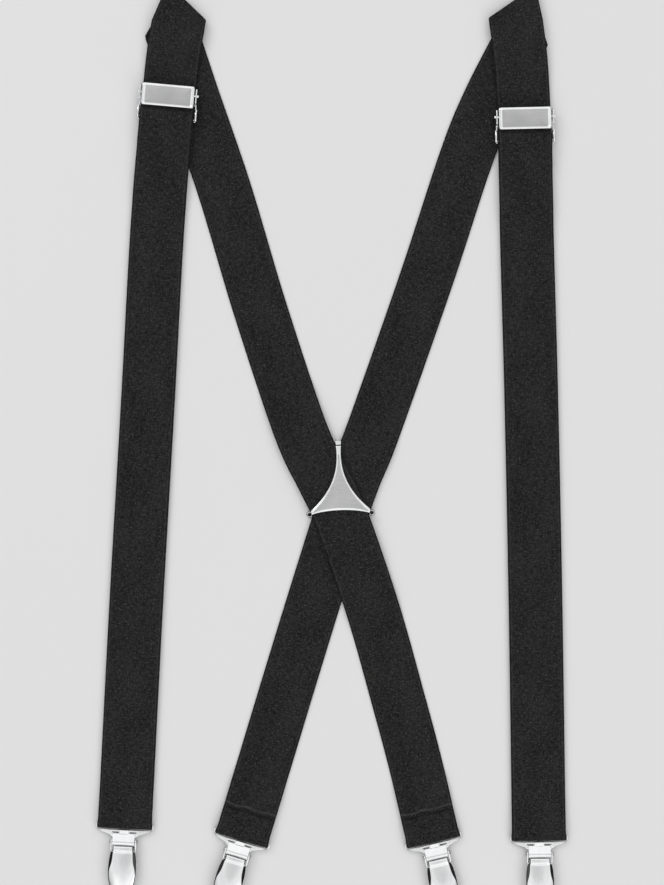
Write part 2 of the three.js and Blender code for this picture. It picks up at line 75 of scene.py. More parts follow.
SEWN_END = 27.0
FOLD_RADIUS = 1.15
CREASE_SOFTNESS = 2.5  # how far along the strap the edges are rounded at a crease
CREASE_PUSH = 1.2
PLATE_THICK = 1.0
UNDER_Z = PLATE_THICK + GAP + WEB_THICK / 2
OVER_Z = UNDER_Z + LAYER
FRONT_PLATE_Z = OVER_Z + WEB_THICK / 2 + GAP
PLATE_TURN = math.radians(2)
CROSS_MIDDLE = (5.6, -50.0)
PLATE_MIDDLE = (4.9, -25.2)
STEM_TOP = 25.8
RIVETS = {"left": (-14.6, -47.0), "right": (25.9, -45.7)}
BACK_SEAM = 19.8  # from the fold round the clip's bar to the sewn line
BAR_FLARE = 0.3  # how much wider each half of the strap lies round the clip's bar
FOLD_START, FOLD_END = 6.0, 6.0  # the fold takes over this far before the shoulder and this far down the back

HALVES = {
    "left": {
        "outward": -1,
        "front": [(-106.6, 225.5), (-113.7, 145.5), (-120.2, 27.8), (-128.1, -109.5), (-135.3, -249.9)],
        "shoulder": [(-106.6, 225.5), (-103.6, 252), (-99.2, 277.9)],
        "corner": [(-81.9, 275.3), (-107, 299.8)],
        "bump": [(-122.3, 265.2), (-104.5, 295.5)],
        "back": [(-105.6, 270.4), (-92.5, 230), (-70.3, 165.1), (-46.8, 86.7), (-20.6, 8.2),
                 (-5.4, -24.1), (6.2, -49), (26.8, -109.5), (43.4, -168.4), (55, -212), (65.9, -258.9)],
        "over": True,
    },
    "right": {
        "outward": 1,
        "front": [(125.5, 210.8), (127.5, 125.9), (130.2, 27.8), (133, -109.5), (135.1, -257.8)],
        "shoulder": [(125.5, 210.8), (123.4, 246), (119.2, 279.2)],
        "corner": [(101.9, 276.8), (132.5, 298)],
        "bump": [(141.1, 259.3), (129, 293.5)],
        "back": [(125.6, 267.4), (102.4, 222.2), (87.3, 184.8), (61.5, 106.3), (27.1, 8.2), (15, -21.5),
                 (5, -50), (-13.7, -109.5), (-31.7, -168.4), (-45, -212.5), (-58.7, -257.6)],
        "over": False,
    },
}

# The layout above is shifted so that one clip's bar lies where the frame has its hinge.
BAR_HINGE = next(j for j in frame["record"]["behaviour"]["joints"] if j["name"] == "left_front_clip_hinge")
SHIFT = Vector((*(v / MM for v in BAR_HINGE["pos_m"][:2]), 0)) - Vector((*HALVES["left"]["front"][-1], 0))


def row_frame(point):
    return (Vector(point) + SHIFT) * MM


# ---- material helpers


class Nodes:
    """A node tree, with short calls for the nodes that the materials below share."""

    def __init__(self, owner):
        owner.use_nodes = True
        self.owner, self.tree = owner, owner.node_tree

    def node(self, kind, **settings):
        made = self.tree.nodes.new(kind)
        for key, value in settings.items():
            setattr(made, key, value)
        return made

    def put(self, socket, value):
        if isinstance(value, bpy.types.NodeSocket):
            self.tree.links.new(value, socket)
        else:
            socket.default_value = value

    def feed(self, made, *values, **named):
        """Fills the node's sockets, the first ones in their order and others by their names."""
        for socket, value in zip(made.inputs, values):
            self.put(socket, value)
        for key, value in named.items():
            self.put(made.inputs[key.replace("_", " ")], value)
        return made.outputs

    def math(self, operation, a, b=0.0):
        return self.feed(self.node("ShaderNodeMath", operation=operation), a, b)[0]

    def add(self, a, b):
        return self.math("ADD", a, b)

    def times(self, a, b):
        return self.math("MULTIPLY", a, b)

    def object_place(self):
        return self.node("ShaderNodeTexCoord").outputs["Object"]

    def noise(self, vector, scale, detail=2.0, roughness=0.5):
        made = self.node("ShaderNodeTexNoise")
        return self.feed(made, Vector=vector, Scale=scale, Detail=detail, Roughness=roughness)["Fac"]

    def scaled(self, vector, scale):
        return self.feed(self.node("ShaderNodeVectorMath", operation="MULTIPLY"), vector, scale)[0]

    def grain(self, vector, stretch, detail=2.0, roughness=0.5):
        return self.noise(self.scaled(vector, stretch), 1.0, detail, roughness)

    def span(self, value, low, high, to_low=0.0, to_high=1.0):
        made = self.node("ShaderNodeMapRange", interpolation_type="SMOOTHSTEP")
        return self.feed(made, value, low, high, to_low, to_high)[0]

    def band(self, value, rise, fall):
        """1 between the rise and the fall, each a (low, high) pair, and 0 outside them."""
        return self.times(self.span(value, *rise), self.span(value, *fall, 1.0, 0.0))

    def wave(self, value, power):
        """Rounded humps, one for each whole number that the value passes."""
        return self.math("POWER", self.math("ABSOLUTE", self.math("SINE", self.times(value, math.pi))), power)

    def blend(self, factor, a, b):
        made = self.node("ShaderNodeMix", data_type="RGBA")
        for index, value in ((0, factor), (6, a), (7, b)):
            self.put(made.inputs[index], value)
        return made.outputs[2]

    def bump(self, height, distance, strength=1.0):
        made = self.node("ShaderNodeBump")
        return self.feed(made, Strength=strength, Distance=distance, Height=height)[0]

    def ramp(self, value, stops):
        made = self.node("ShaderNodeValToRGB")
        made.color_ramp.interpolation = "EASE"
        elements = made.color_ramp.elements
        (elements[0].position, first), (elements[1].position, last) = stops[0], stops[-1]
        elements[0].color, elements[1].color = grey(first), grey(last)
        for position, level in stops[1:-1]:
            elements.new(position).color = grey(level)
        return self.feed(made, value)[0]

    def split(self, vector):
        return tuple(self.feed(self.node("ShaderNodeSeparateXYZ"), vector))

    def principled(self, **sockets):
        self.feed(self.tree.nodes["Principled BSDF"], **sockets)
        return self.owner


def material_nodes(name):
    return Nodes(bpy.data.materials.new(name))


def grey(value, warm=0.0):
    return (value * (1 + warm), value, value * (1 - warm), 1)


RIB_PITCH, PICK_PITCH = 0.92, 0.84


def webbing_material(name, seam=None, drawn_from=None):
    """Elastic webbing: columns of ribs with staggered picks, loose fibres, pale flecks, a painted highlight
    in the groove near each edge and painted shade on the rounded edges.
    Beside a seam one side has a painted highlight and the other painted shade. A run that its adjuster draws
    out measures its pattern from a point along a direction instead, so that the picks keep their size."""
    n = material_nodes(name)
    uv = n.node("ShaderNodeUVMap", uv_map="webbing").outputs[0]
    across, along, _ = n.split(uv)
    if drawn_from is not None:
        point, direction = drawn_from
        x, y, _ = n.split(n.scaled(n.object_place(), direction / MM))
        along = n.math("SUBTRACT", n.add(x, y), point.dot(direction) / MM)
        uv = n.feed(n.node("ShaderNodeCombineXYZ"), across, along)[0]
    column = n.times(across, 1 / RIB_PITCH)
    stagger = n.times(n.math("MODULO", n.math("FLOOR", column), 2.0), 0.5)
    weave = n.times(n.wave(column, 0.7), n.wave(n.add(n.times(along, 1 / PICK_PITCH), stagger), 0.8))
    fibre = n.grain(uv, (5.0, 1.6, 1.0), 4.0, 0.65)
    cross_grain = n.grain(uv, (0.28, 1.15, 1.0), roughness=0.6)
    long_grain = n.grain(uv, (1.3, 0.32, 1.0), roughness=0.6)
    broad = n.grain(uv, (0.06, 0.03, 1.0))
    fleck = n.span(n.grain(uv, (0.75, 0.95, 1.0), roughness=0.7), 0.56, 0.72)
    from_middle = n.math("ABSOLUTE", n.math("SUBTRACT", across, WEB_WIDTH / 2))
    # painted shade: the strap's rounded edges, and with them its underside, are darkened to near black
    edge = n.span(from_middle, 16.5, 17.3)
    # painted highlight: a paler thin line along the groove near each edge
    groove_highlight = n.band(from_middle, (15.6, 16.0), (16.1, 16.4))
    grain = n.add(n.times(n.add(cross_grain, long_grain), 0.42), n.times(broad, 0.16))
    body = n.blend(n.span(grain, 0.38, 0.62), grey(0.0020), grey(0.0330, 0.01))
    picked = n.blend(n.add(n.times(weave, 0.55), 0.4), grey(0.0050), body)
    flecked = n.blend(n.times(fleck, 0.6), picked, grey(0.100, 0.02))
    groove_highlighted = n.blend(n.times(groove_highlight, 0.30), flecked, grey(0.060))
    shaded = n.blend(n.times(edge, 0.8), groove_highlighted, grey(0.0030))
    if seam is not None:
        # painted highlight and painted shade: a paler band on one side of the sewn line and a darker band on
        # the other
        wander = n.times(n.math("SINE", n.times(across, 0.4)), 0.5)
        off = n.add(n.math("SUBTRACT", along, seam), wander)
        patchy = n.span(n.grain(uv, (0.35, 0.5, 1.0)), 0.3, 0.6, 0.25, 1.0)
        seam_highlight = n.times(n.band(off, (-2.9, -1.7), (-1.3, -0.2)), patchy)
        seam_shade = n.times(n.band(off, (-0.4, 0.5), (1.2, 2.8)), patchy)
        shaded = n.blend(n.times(seam_highlight, 0.45), shaded, grey(0.065))
        shaded = n.blend(n.times(seam_shade, 0.8), shaded, grey(0.002))
    height = n.add(n.times(weave, 0.75), n.times(fibre, 0.45))
    return n.principled(
        Base_Color=shaded,
        Roughness=n.span(fibre, 0.2, 0.8, 0.72, 0.94),
        Normal=n.bump(height, 0.00022, 0.9),
        Specular_IOR_Level=0.16,
        Sheen_Weight=0.05,
        Sheen_Roughness=0.45,
    )


def thread_material():
    n = material_nodes("thread")
    wave = n.node("ShaderNodeTexWave", bands_direction="DIAGONAL")
    twist = n.feed(wave, Vector=n.object_place(), Scale=520.0, Distortion=1.5)["Fac"]
    return n.principled(
        Base_Color=n.blend(twist, grey(0.010), grey(0.030, 0.01)),
        Roughness=n.span(twist, 0.0, 1.0, 0.7, 0.5),
        Normal=n.bump(twist, 0.00006),
        Specular_IOR_Level=0.3,
    )


def metal_material(name, dark, light, roughness, brushed, scratch):
    """Plated metal: cloudy tone, fine lines along brushed, and rougher rubbed patches."""
    n = material_nodes(name)
    place = n.object_place()
    lines = n.grain(place, brushed, 4.0, 0.6)
    rubbed = n.span(n.noise(place, 420.0, 4.0, 0.7), 0.55, 0.75)
    tone = n.add(n.times(n.noise(place, 90.0), 0.7), n.times(lines, 0.3))
    return n.principled(
        Base_Color=n.blend(n.span(tone, 0.3, 0.7), dark, light),
        Metallic=1.0,
        Roughness=n.add(n.span(lines, 0.2, 0.8, *roughness), n.times(rubbed, 0.05)),
        Normal=n.bump(lines, scratch, 0.35),
    )


def grip_material():
    n = material_nodes("grip")
    place = n.object_place()
    grain = n.noise(place, 1600.0, 4.0, 0.7)
    dust = n.span(n.noise(place, 260.0, 4.0, 0.6), 0.5, 0.8, 0.0, 0.6)
    return n.principled(
        Base_Color=n.blend(dust, grey(0.012), grey(0.035)),
        Roughness=n.span(grain, 0.2, 0.8, 0.55, 0.85),
        Normal=n.bump(grain, 0.00008, 0.6),
        Specular_IOR_Level=0.4,
    )


WEBBING = webbing_material("webbing")
THREAD = thread_material()
CHROME = metal_material("chrome", grey(0.71, -0.01), grey(0.80, -0.005), (0.04, 0.11),
                        (900, 160, 900), 0.000012)
RIM = metal_material("bright_rim", grey(0.76, -0.01), grey(0.86, -0.005), (0.14, 0.24),
                     (600, 600, 600), 0.00001)
COVER = metal_material("cover_face", grey(0.45, -0.005), grey(0.50), (0.05, 0.09),
                       (120, 1200, 1200), 0.000004)
SATIN = metal_material("satin", grey(0.455, -0.005), grey(0.53), (0.24, 0.36), (120, 2600, 2600), 0.00003)
STEEL = metal_material("steel", grey(0.34), grey(0.50, 0.01), (0.22, 0.38), (1800, 200, 1800), 0.00003)
# near-black metal for the rivet heads, also used as painted shade in the cross plate's crease
DARK_RIVET_AND_CREASE_SHADE = metal_material("dark_rivet_and_crease_shade", grey(0.02), grey(0.06), (0.4, 0.6), (900, 900, 900), 0.00002)
GRIP = grip_material()

# ---- mesh helpers


def steps(start, end, step):
    count = max(1, round(abs((end - start) / step)))
    return [start + (end - start) * i / count for i in range(count + 1)]


HALF_TURN = steps(0, math.pi, math.pi / 14)


def full_turn(count):
    return [k * math.tau / count for k in range(count)]


def arc(x, y, radius, start, end, count):
    return [(x + radius * math.cos(a), y + radius * math.sin(a))
            for a in steps(start, end, abs(end - start) / count)]


def strip(low, high, half, far_half=None):
    """A four-sided outline from low to high along Y, half wide each way at low and far_half at high."""
    far = half if far_half is None else far_half
    return [(-half, low), (half, low), (far, high), (-far, high)]


def mirrored(points):
    return [(-x, y) for x, y in reversed(points)]


class Solid:
    """A mesh put together from shells in millimetres about a local origin. Edges over sharp degrees stay
    hard, and subdivide rounds the rest that many times."""

    def __init__(self, sharp=40, subdivide=0):
        self.bm = bmesh.new()
        self.sharp, self.subdivide = sharp, subdivide

    def shell(self, rings, closed=False):
        """A skin through rings of the same length, capped at its ends unless it closes on itself."""
        made = [[self.bm.verts.new(point) for point in ring] for ring in rings]
        count = len(made[0])
        pairs = list(zip(made, made[1:])) + ([(made[-1], made[0])] if closed else [])
        faces = []
        for lower, upper in pairs:
            for i in range(count):
                j = (i + 1) % count
                faces.append(self.bm.faces.new((lower[i], lower[j], upper[j], upper[i])))
        if not closed:
            faces.append(self.bm.faces.new(list(reversed(made[0]))))
            faces.append(self.bm.faces.new(made[-1]))
        bmesh.ops.recalc_face_normals(self.bm, faces=faces)
        return faces

    def prism(self, outline, low, high, bevel, holes=(), turn=Matrix(), segments=3, slot=0):
        """A plate of the outline, with holes, its edges rounded over."""
        part = bmesh.new()
        for loop in (outline, *holes):
            points = [part.verts.new((x, y, low)) for x, y in loop]
            for i, point in enumerate(points):
                part.edges.new((point, points[(i + 1) % len(points)]))
        bmesh.ops.triangle_fill(part, use_beauty=True, edges=part.edges[:])
        lid = bmesh.ops.extrude_face_region(part, geom=part.faces[:])["geom"]
        for item in lid:
            if isinstance(item, bmesh.types.BMVert):
                item.co.z = high
        bmesh.ops.recalc_face_normals(part, faces=part.faces[:])
        sharp = [e for e in part.edges if len(e.link_faces) == 2 and e.calc_face_angle(0) > math.radians(50)]
        bmesh.ops.bevel(part, geom=sharp, offset=bevel, segments=segments, profile=0.5, affect="EDGES",
                        clamp_overlap=True)
        self.merge(part, turn, slot)

    def lathe(self, profile, turn, count=28):
        """A round body about X through (x, radius) points that start and end on the axis."""
        part = bmesh.new()
        rings = [[part.verts.new((x, radius * math.cos(a), radius * math.sin(a))) for a in full_turn(count)]
                 for x, radius in profile[1:-1]]
        ends = [part.verts.new((profile[0][0], 0, 0)), part.verts.new((profile[-1][0], 0, 0))]
        for lower, upper in zip(rings, rings[1:]):
            for i in range(count):
                j = (i + 1) % count
                part.faces.new((lower[i], lower[j], upper[j], upper[i]))
        for i in range(count):
            j = (i + 1) % count
            part.faces.new((ends[0], rings[0][j], rings[0][i]))
            part.faces.new((ends[1], rings[-1][i], rings[-1][j]))
        bmesh.ops.recalc_face_normals(part, faces=part.faces[:])
        self.merge(part, turn)

    def merge(self, part, turn, slot=0):
        bmesh.ops.transform(part, matrix=turn, verts=part.verts[:])
        for face in part.faces:
            face.material_index = slot
        mesh = bpy.data.meshes.new("part")
        part.to_mesh(mesh)
        self.bm.from_mesh(mesh)
        bpy.data.meshes.remove(mesh)
        part.free()

    def finish(self, name, place, materials):
        """The object, its mesh in the row frame. place puts local millimetres where the piece goes."""
        bmesh.ops.transform(self.bm, matrix=Matrix.Scale(MM, 4) @ Matrix.Translation(SHIFT) @ place,
                            verts=self.bm.verts[:])
        mesh = bpy.data.meshes.new(name)
        self.bm.to_mesh(mesh)
        self.bm.free()
        piece = make_object(name, mesh, materials, self.sharp)
        if self.subdivide:
            levels = piece.modifiers.new("round", "SUBSURF")
            levels.levels = levels.render_levels = self.subdivide
        else:
            piece.modifiers.new("flats", "WEIGHTED_NORMAL").keep_sharp = True
        return piece


def add_object(name, data):
    made = bpy.data.objects.new(name, data)
    bpy.context.scene.collection.objects.link(made)
    return made


def make_object(name, mesh, materials, sharp):
    for material in materials:
        mesh.materials.append(material)
    mesh.polygons.foreach_set("use_smooth", [True] * len(mesh.polygons))
    mesh.set_sharp_from_angle(angle=math.radians(sharp))
    return add_object(name, mesh)


def stand_in(piece, slot, *nodes):
    """The piece stands for the CAD nodes, if any, which are hidden. The slot is not used."""
    if nodes:
        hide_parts(*nodes)


def keep(piece, body, slot, *nodes):
    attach(piece, body)
    stand_in(piece, slot, *nodes)


# An outline's x becomes the piece's Y and its y becomes the piece's Z, and it is extruded along X.
SIDEWAYS = Matrix(((0, 0, 1, 0), (1, 0, 0, 0), (0, 1, 0, 0), (0, 0, 0, 1)))


def across_at(y, z):
    return Matrix.Translation((0, y, z))


def rod_profile(half, radius, rounding=0.15):
    """A round bar's (x, radius) points, its ends rounded over."""
    end = [(half - rounding + rounding * math.sin(a), radius - rounding + rounding * math.cos(a))
           for a in steps(0, HALF_PI, HALF_PI / 3)]
    return [(-half, 0), *mirrored(end), *end, (half, 0)]


def headed_profile(reach, radius, head_radius, head_length):
    """A pin's (x, radius) points, with a domed head past reach at each end."""
    dome = [(reach, radius), (reach, head_radius - 0.12), (reach + 0.08, head_radius)]
    for a in steps(0.25, HALF_PI, 0.26):
        dome.append((reach + head_length * (0.25 + 0.75 * math.sin(a)), head_radius * math.cos(a) ** 0.7))
    dome[-1] = (reach + head_length, 0)
    return mirrored(dome) + dome


# ---- webbing


def eased(pairs):
    """Values eased between (distance, value) pairs."""
    def value(distance):
        if distance <= pairs[0][0]:
            return pairs[0][1]
        for (start, low), (end, high) in zip(pairs, pairs[1:]):
            if distance <= end:
                t = (distance - start) / (end - start)
                return low + (high - low) * t * t * (3 - 2 * t)
        return pairs[-1][1]
    return value


class PlanLine:
    """A strap's line in plan through its points, measured by the distance along it."""

    def __init__(self, points, divisions=400):
        self.points = [Vector(point) for point in points]
        samples = [self.curve(i / divisions) for i in range(divisions + 1)]
        self.lengths = [0.0]
        for a, b in zip(samples, samples[1:]):
            self.lengths.append(self.lengths[-1] + (b - a).length)
        self.length = self.lengths[-1]

    def curve(self, t):
        last = len(self.points) - 1
        i = min(int(last * t), last)
        w = last * t - i
        p0, p1, p2, p3 = (self.points[min(max(i + k, 0), last)] for k in (-1, 0, 1, 2))
        v0, v1 = (p2 - p0) / 2, (p3 - p1) / 2
        return (2 * (p1 - p2) + v0 + v1) * w ** 3 + (3 * (p2 - p1) - 2 * v0 - v1) * w ** 2 + v0 * w + p1

    def at(self, distance):
        """Point and direction, carried on straight past either end."""
        inside = min(max(distance, 0), self.length)
        low, high = 0, len(self.lengths) - 1
        while high - low > 1:
            middle = (low + high) // 2
            low, high = (middle, high) if self.lengths[middle] <= inside else (low, middle)
        share = (inside - self.lengths[low]) / (self.lengths[high] - self.lengths[low])
        t = (low + share) / (len(self.lengths) - 1)
        heading = (self.curve(min(1, t + 1e-4)) - self.curve(max(0, t - 1e-4))).normalized()
        return self.curve(t) + heading * (distance - inside), heading

    def nearest(self, x, y):
        return min(steps(0, self.length, 1), key=lambda d: (self.at(d)[0] - Vector((x, y))).length)


def row_at(line, distance, height, widen=0.0):
    """The strap's two edge points at a distance along its line."""
    point, heading = line.at(distance)
    side = Vector((heading.y, -heading.x)) * (WEB_WIDTH / 2 + widen)
    return Vector((*(point - side), height)), Vector((*(point + side), height))


def run_rows(line, distances, height, widen=lambda distance: 0.0):
    return [row_at(line, d, height(d), widen(d)) for d in distances]


def wrap_rows(line, distance, bar_z, radius, start, bulge, widen=0.0):
    """Half a turn round a bar across the line, from above it (start 1) or below it (start -1)."""
    return [row_at(line, distance + bulge * radius * math.sin(a), bar_z + start * radius * math.cos(a), widen)
            for a in HALF_TURN]


def mix_rows(a, b, count):
    return [(a[0].lerp(b[0], i / count), a[1].lerp(b[1], i / count)) for i in range(count + 1)]


def section():
    """The strap's closed cross-section as (across, share of the half thickness, mm round it)."""
    half = WEB_WIDTH / 2
    edge = [(0, 0), (0.06, 0.38), (0.25, 0.74), (0.6, 0.95), (1, 0.97), (1.35, 0.84), (1.7, 0.95), (2.6, 1)]
    top = [*[(-half + x, z) for x, z in edge], (-10.5, 0.97), (-6.0, 1.0), (-2.0, 0.98)]
    upper = top + mirrored(top)
    lower = [(-x, -z) for x, z in upper[1:-1]]
    points = upper + lower
    return [(x, z, x + half if z >= 0 else WEB_WIDTH + half - x) for x, z in points]


SECTION = section()


def middles_of(rows):
    """The rows' middle points, and how far along the strap each one is."""
    middles = [(left + right) / 2 for left, right in rows]
    travelled = [0.0]
    for a, b in zip(middles, middles[1:]):
        travelled.append(travelled[-1] + (b - a).length)
    return middles, travelled


def strap_mesh(name, rows, relief=None, material=WEBBING, cut_ends=(True, True)):
    """The webbing through the rows. relief(travelled, across) raises or lowers its upper face, and a cut
    end is pressed a little thinner."""
    kept = [rows[0]]
    for row in rows[1:]:
        if max((row[0] - kept[-1][0]).length, (row[1] - kept[-1][1]).length) > 0.05:
            kept.append(row)
    middles, travelled = middles_of(kept)
    points = []
    for i, (left, right) in enumerate(kept):
        ahead, behind = middles[min(i + 1, len(kept) - 1)], middles[max(i - 1, 0)]
        across = (right - left).normalized()
        up = across.cross(ahead - behind).normalized()
        stretch = (right - left).length / WEB_WIDTH
        pressed = (i == 0 and cut_ends[0]) or (i == len(kept) - 1 and cut_ends[1])
        thick = WEB_THICK / 2 * (0.72 if pressed else 1.0)
        for x, z, _ in SECTION:
            lift = relief(travelled[i], x) * min(1, z * 1.5) if relief and z > 0 else 0.0
            points.append(row_frame(middles[i] + across * x * stretch + up * (z * thick + lift)))
    count = len(SECTION)
    faces, uvs = [], []
    for i in range(len(kept) - 1):
        for k in range(count):
            j = (k + 1) % count
            faces.append((i * count + k, i * count + j, (i + 1) * count + j, (i + 1) * count + k))
            a, b = SECTION[k][2], SECTION[j][2] if j else 2 * WEB_WIDTH
            uvs += [a, travelled[i], b, travelled[i], b, travelled[i + 1], a, travelled[i + 1]]
    first, last = list(range(count)), [(len(kept) - 1) * count + k for k in range(count)]
    for cap, at in ((list(reversed(first)), 0.0), (last, travelled[-1])):
        faces.append(cap)
        for index in cap:
            x, z, _ = SECTION[index % count]
            uvs += [x + WEB_WIDTH / 2, at + z]
    mesh = bpy.data.meshes.new(name)
    mesh.from_pydata(points, [], faces)
    mesh.uv_layers.new(name="webbing").data.foreach_set("uv", uvs)
    bm = bmesh.new()
    bm.from_mesh(mesh)
    bmesh.ops.recalc_face_normals(bm, faces=bm.faces[:])
    bm.to_mesh(mesh)
    bm.free()
    piece = make_object(name, mesh, [material], 60)
    piece["strap_length"] = travelled[-1]
    return piece


def seam_relief(at, depth=0.55):
    """A sewn line's dip, wandering a little, with the webbing puffed up between and beside its stitches."""
    def lift(travelled, x):
        off = travelled - at - 0.35 * math.sin(x * 0.21 + 0.6) - 0.15 * math.sin(x * 0.9)
        dip = -depth * math.exp(-(off / 0.75) ** 2)
        puff = 0.34 * math.exp(-((abs(off) - 2.1) / 1.2) ** 2) * (0.7 + 0.3 * math.sin(x * 1.9 + off))
        return dip + puff
    return lift


def stitch_row(name, body, line, distance, height):
    """Lock stitches across the strap, each a tapered bead of thread pressed into the webbing."""
    solid = Solid(sharp=60)
    span, wander, length, pitch, radius = 15.6, 0.35, 2.15, 2.7, 0.24
    count = int(2 * span / pitch)
    for i in range(count):
        middle = -span + (i + 0.5) * 2 * span / count
        along = wander * math.sin(middle * 0.21 + 0.6)
        point, heading = line.at(distance + along)
        side, forward = Vector((heading.y, -heading.x, 0)), Vector((*heading, 0))
        centre = Vector((*point, height)) + side * middle
        rings = []
        for t in (-1.0, -0.92, -0.7, -0.3, 0.3, 0.7, 0.92, 1.0):
            size = radius * max(0.12, math.sqrt(max(0.0, 1 - t ** 6)))
            lean = forward * (0.12 * t)
            drop = Vector((0, 0, -0.12 * t ** 4))
            at = centre + side * (t * length / 2) + lean + drop
            rings.append([at + forward * (size * math.cos(a)) + Vector((0, 0, size * math.sin(a)))
                          for a in full_turn(8)])
        solid.shell(rings)
    stitches = solid.finish(name, Matrix(), [THREAD])
    keep(stitches, body, "webbing")
    return stitches


def front_strap(side):
    """From under the cover down to the clip's bar, round it, back to the lower bar and the sewn end."""
    line = PlanLine(HALVES[side]["front"])
    bar, sewn_bar = line.length, -LOWER_BAR_Y
    upper = eased([(0, 5.5), (0.5, 5.6), (7, 5.6), (12.3, 7.5), (15, 7.5), (21, 5.9), (28.5, 5.9), (36, 4.2),
                   (54, 4.2), (76, 2.5), (bar - 32, 2.5), (bar - 5, BAR_Z + LOOP_RADIUS)])
    lower = eased([(52, LOWER_BAR_Z - SEW_RADIUS), (70, FLOOR_LAYER)])
    end = eased([(sewn_bar, LOWER_BAR_Z + SEW_RADIUS), (20, 4.1)])
    flare = eased([(bar - 5, 0.0), (bar, BAR_FLARE)])
    rows = [
        *run_rows(line, steps(GAP / 2, 80, 1.0) + steps(83, bar - 35, 4) + steps(bar - 33, bar, 1.2),
                  upper, flare),
        *wrap_rows(line, bar, BAR_Z, LOOP_RADIUS, 1, 1, BAR_FLARE),
        *run_rows(line, steps(bar, bar - 30, 3) + steps(bar - 36, 74, 6) + steps(70, sewn_bar, 2),
                  lower, flare),
        *wrap_rows(line, sewn_bar, LOWER_BAR_Z, SEW_RADIUS, -1, -1),
        *run_rows(line, steps(sewn_bar, SEWN_END, 1), end),
    ]
    piece = strap_mesh(f"{side}_front_webbing", rows)
    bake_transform(piece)
    stand_in(piece, "webbing", f"{side}_front_strap")
    stitches = stitch_row(f"{side}_adjuster_stitching", f"{side}_adjuster", line, SEWN_END - 2.5,
                          LOWER_BAR_Z - SEW_RADIUS - 0.64)


def relaxed(rows, fixed):
    """The rows with both edges rounded in plan, as soft webbing rounds a crease; the ends stay put."""
    travelled = middles_of(rows)[1]
    made = list(rows)
    for i in range(fixed, len(rows) - 1):
        room = min(travelled[i] - travelled[fixed - 1], travelled[-1] - travelled[i])
        sigma = min(CREASE_SOFTNESS, room / 3)
        if sigma < 0.05:
            continue
        total, sums = 0.0, [Vector((0, 0)), Vector((0, 0))]
        for j in range(1, len(rows) - 1):
            off = (travelled[j] - travelled[i]) / sigma
            weight = math.exp(-off * off / 2) * (travelled[j + 1] - travelled[j - 1])
            total += weight
            for k in (0, 1):
                sums[k] += rows[j][k].xy * weight
        made[i] = tuple(Vector((*(sums[k] / total), rows[i][k].z)) for k in (0, 1))
    return made


def crease(ends, outside, low, coming, going):
    """Half a turn about the crease between its two ends, from above it to below. The strap's edges slide
    along the crease, so that in plan they run straight into it."""
    near, far = Vector(ends[0]), Vector(ends[1])
    along = (far - near).normalized()
    normal = Vector((along.y, -along.x)) * outside
    slides = [heading.dot(along) / heading.dot(normal) for heading in (coming, going)]
    rows = []
    for angle in HALF_TURN:
        reach = FOLD_RADIUS * math.sin(angle) - FOLD_RADIUS - WEB_THICK / 2 + CREASE_PUSH
        slide = slides[0] + (slides[1] - slides[0]) * (0.5 - 0.5 * math.cos(angle))
        shift = (normal + along * slide) * reach
        z = low + FOLD_RADIUS * (1 + math.cos(angle))
        rows.append([Vector((*(point + shift), z)) for point in (near, far)])
    return rows


def shoulder_strap(side):
    """From under the cover up to the shoulder, over both creases, to the start of the back strap."""
    layout = HALVES[side]
    outward = layout["outward"]
    line, back = PlanLine(layout["shoulder"]), PlanLine(layout["back"])
    bottom, middle, top = (FLOOR_LAYER + layer * FOLD_RADIUS for layer in (0, 2, 4))
    join = line.length - FOLD_START
    height = eased([(0, 5.5), (5.5, 2.4), (10, 2.4), (join, top)])
    corner, bump = ([Vector(point) for point in layout[key]] for key in ("corner", "bump"))
    between = (bump[0] + bump[1] - corner[0] - corner[1]).normalized()
    first = crease(corner, -outward, middle, line.at(line.length)[1], between)
    second = crease(bump, outward, bottom, between, back.at(FOLD_END)[1])
    if outward < 0:
        first, second = ([(outer, inner) for inner, outer in rows] for rows in (first, second))
    front = run_rows(line, steps(4 * GAP, 10, 0.8) + steps(11, join, 1.2), height)
    rows = relaxed([*front, *mix_rows(front[-1], first[0], 12), *first, *mix_rows(first[-1], second[0], 24),
                    *second, *mix_rows(second[-1], row_at(back, FOLD_END, bottom), 16)], len(front))
    straight, folded = rows[:len(front)], rows[len(front) - 1:]
    point, heading = line.at(join)
    drawn = webbing_material(f"{side}_drawn_webbing",
                             drawn_from=(row_frame((*point, 0)), Vector((*heading, 0))))
    run = strap_mesh(f"{side}_shoulder_webbing", straight, material=drawn, cut_ends=(True, False))
    fold = strap_mesh(f"{side}_fold_webbing", folded, cut_ends=(False, True))
    row_frame((*line.at(join - 1)[0], 3))
    row_frame((*line.at(8.5)[0], 3))
    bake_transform(run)
    stand_in(run, "webbing", f"{side}_shoulder_strap")
    keep(fold, "root", "webbing", f"{side}_shoulder_strap")


